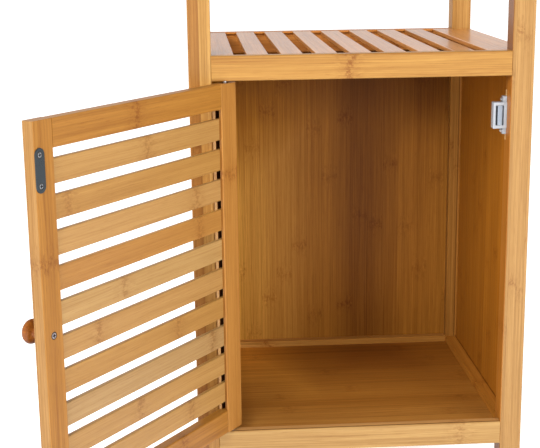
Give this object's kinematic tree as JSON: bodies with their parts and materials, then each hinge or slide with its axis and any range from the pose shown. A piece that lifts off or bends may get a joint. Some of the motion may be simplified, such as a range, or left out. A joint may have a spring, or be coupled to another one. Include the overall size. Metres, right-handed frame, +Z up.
{
  "type": "storage cabinet",
  "caption": "Bamboo storage cabinet with slatted shelves and a hinged louvre-style slatted door over a closed cupboard.",
  "frame": {"origin": "on the floor, midway between the four posts", "axes": "front faces -Y, +X to the right seen from the front, +Z up"},
  "size_m": [0.544, 0.5979, 0.84],
  "materials": {
    "post_wood": "satin lacquer",
    "rail_wood": "satin lacquer",
    "slat_wood": "satin lacquer",
    "panel_wood": "satin lacquer",
    "knob_wood": "gloss lacquer",
    "zinc": "zinc plated",
    "strike_steel": "dark blued steel",
    "white_plastic": "moulded",
    "brown_plastic": "moulded"
  },
  "bodies": {
    "cabinet": {"post_front_left": "post_wood", "post_front_right": "post_wood", "post_rear_left": "post_wood", "post_rear_right": "post_wood", "top_front_rail": "rail_wood", "top_rear_rail": "rail_wood", "top_left_rail": "rail_wood", "top_right_rail": "rail_wood", "top_slats": "slat_wood", "mid_front_rail": "rail_wood", "mid_rear_rail": "rail_wood", "mid_left_rail": "rail_wood", "mid_right_rail": "rail_wood", "mid_slat_1": "slat_wood", "mid_slat_2": "slat_wood", "mid_slat_3": "slat_wood", "mid_slat_4": "slat_wood", "mid_slat_5": "slat_wood", "mid_slat_6": "slat_wood", "mid_slat_7": "slat_wood", "mid_slat_8": "slat_wood", "mid_slat_9": "slat_wood", "bottom_front_rail": "rail_wood", "bottom_rear_rail": "rail_wood", "bottom_left_rail": "rail_wood", "bottom_right_rail": "rail_wood", "bottom_panel": "panel_wood", "back_panel": "panel_wood", "left_panel": "panel_wood", "right_panel": "panel_wood", "pin_top": "zinc", "pin_bottom": "zinc", "catch_body": "white_plastic", "catch_magnet": "zinc", "catch_screws": "zinc", "frame_screws": "zinc", "foot_glides": "brown_plastic"},
    "door": {"door_hinge_stile": "rail_wood", "door_free_stile": "rail_wood", "door_top_rail": "rail_wood", "door_bottom_rail": "rail_wood", "door_slat_1": "slat_wood", "door_slat_2": "slat_wood", "door_slat_3": "slat_wood", "door_slat_4": "slat_wood", "door_slat_5": "slat_wood", "door_slat_6": "slat_wood", "door_slat_7": "slat_wood", "door_slat_8": "slat_wood", "door_slat_9": "slat_wood", "door_slat_10": "slat_wood", "door_knob": "knob_wood", "knob_screw": "zinc", "strike_plate": "strike_steel", "strike_screws": "zinc", "bush_top": "brown_plastic", "bush_bottom": "brown_plastic"}
  },
  "joints": [
    {"name": "door_hinge", "type": "hinge", "parent": "cabinet", "child": "door", "pos_m": [-0.1518, -0.1644, 0.1025], "axis": [0, 0, 1], "range_deg": [-3.5, 125.3]}
  ]
}
